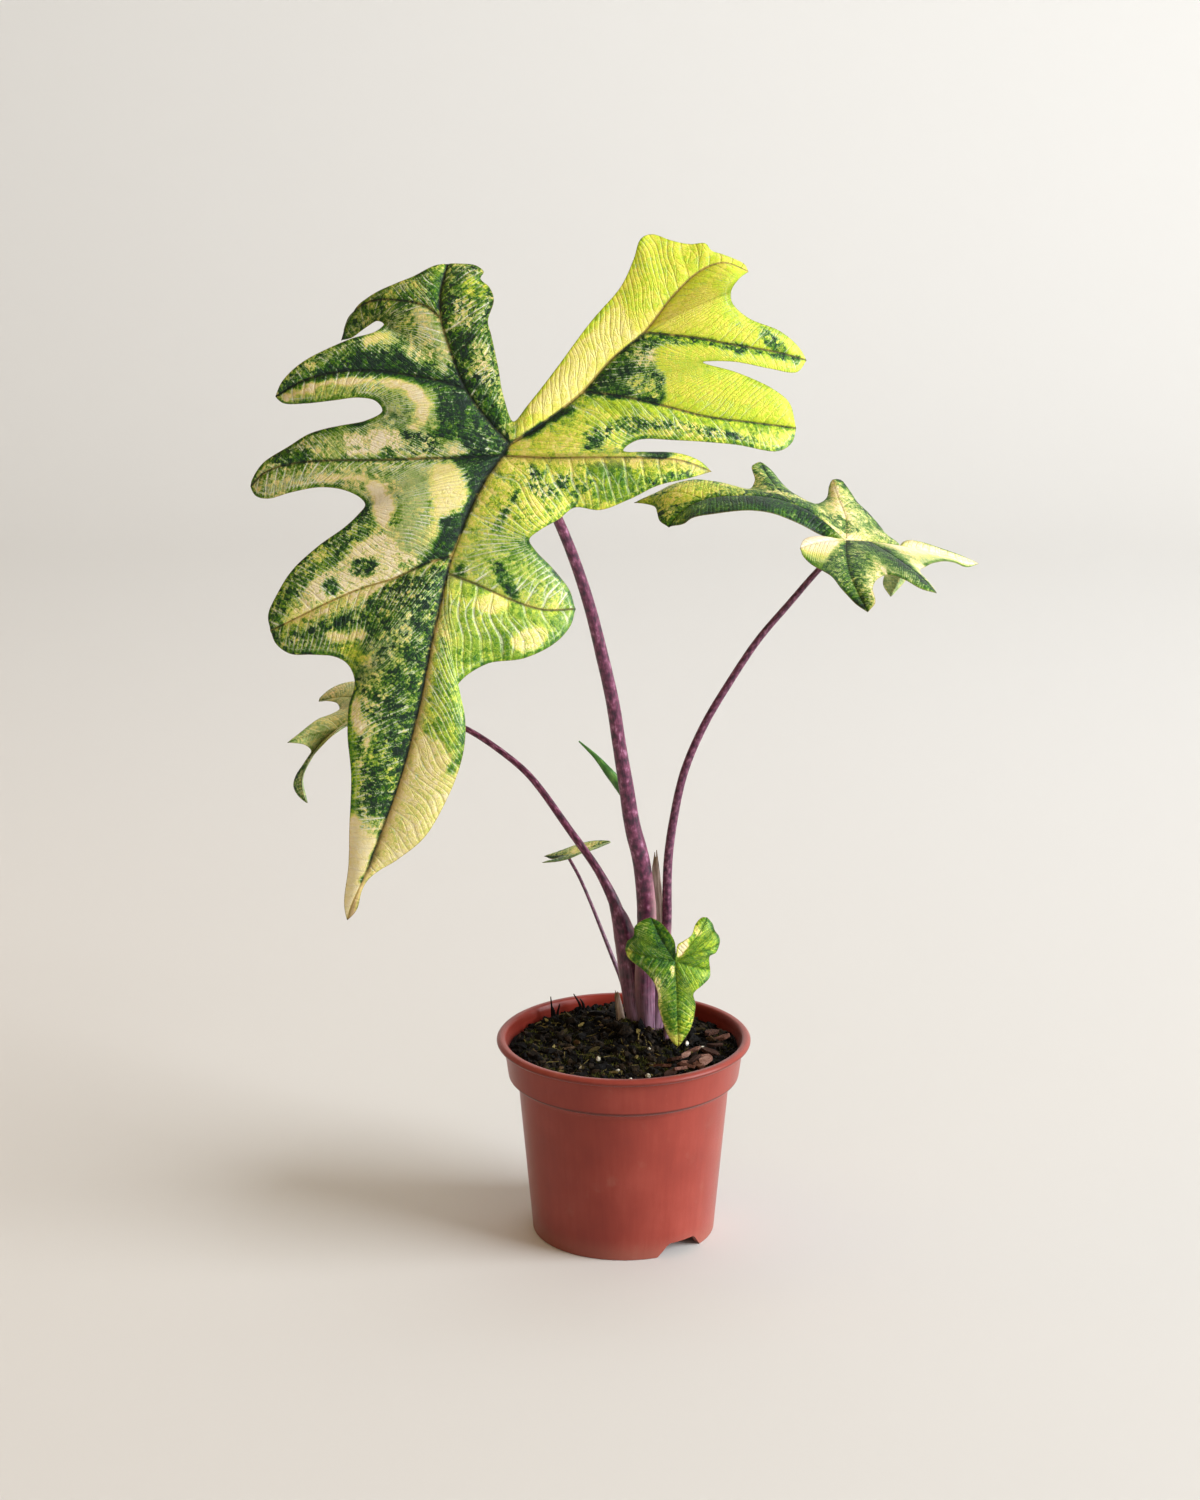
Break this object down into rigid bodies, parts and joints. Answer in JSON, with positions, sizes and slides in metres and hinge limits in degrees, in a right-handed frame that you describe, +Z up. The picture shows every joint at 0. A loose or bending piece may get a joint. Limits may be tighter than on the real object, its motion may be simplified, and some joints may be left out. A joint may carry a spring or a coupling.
{
  "type": "potted jacklyn alocasia",
  "caption": "Variegated jacklyn alocasia in a terracotta-coloured nursery pot: deeply lobed green, cream and lime leaves on slender purple stalks above dark potting mix.",
  "frame": {"origin": "middle of the flat pad in the middle of the pot's underside, level with its foot ring, where it rests on a table", "axes": "+Z up; -Y is the front, which the big leaf faces; +X to the viewer's right"},
  "size_m": [0.3313, 0.2523, 0.4828],
  "materials": {
    "pot": "terracotta-coloured injection-moulded plastic, satin, with faint dust and scuffs",
    "soil": "moist dark potting mix with bark chips, perlite grains and bits of moss",
    "petiole": "smooth purple stalk skin, mottled in darker cross bands",
    "leaf": "thin living blade with a soft sheen, sunken ribs, fine raised veins and green, lime and cream variegation",
    "young_leaf": "rolled young leaf, green with a satin skin",
    "dry_sheath": "dry papery tan sheath, matte and fibrous"
  },
  "bodies": {
    "root": {"pot": "pot", "soil": "soil", "stem_base": "petiole", "petiole_main": "petiole", "petiole_left": "petiole", "petiole_right": "petiole", "petiole_back": "petiole", "petiole_front": "petiole", "young_leaf": "young_leaf", "dry_sheath": "dry_sheath", "blade_main": "leaf", "blade_front": "leaf", "blade_right": "leaf", "blade_left": "leaf", "blade_back": "leaf"}
  },
  "joints": []
}
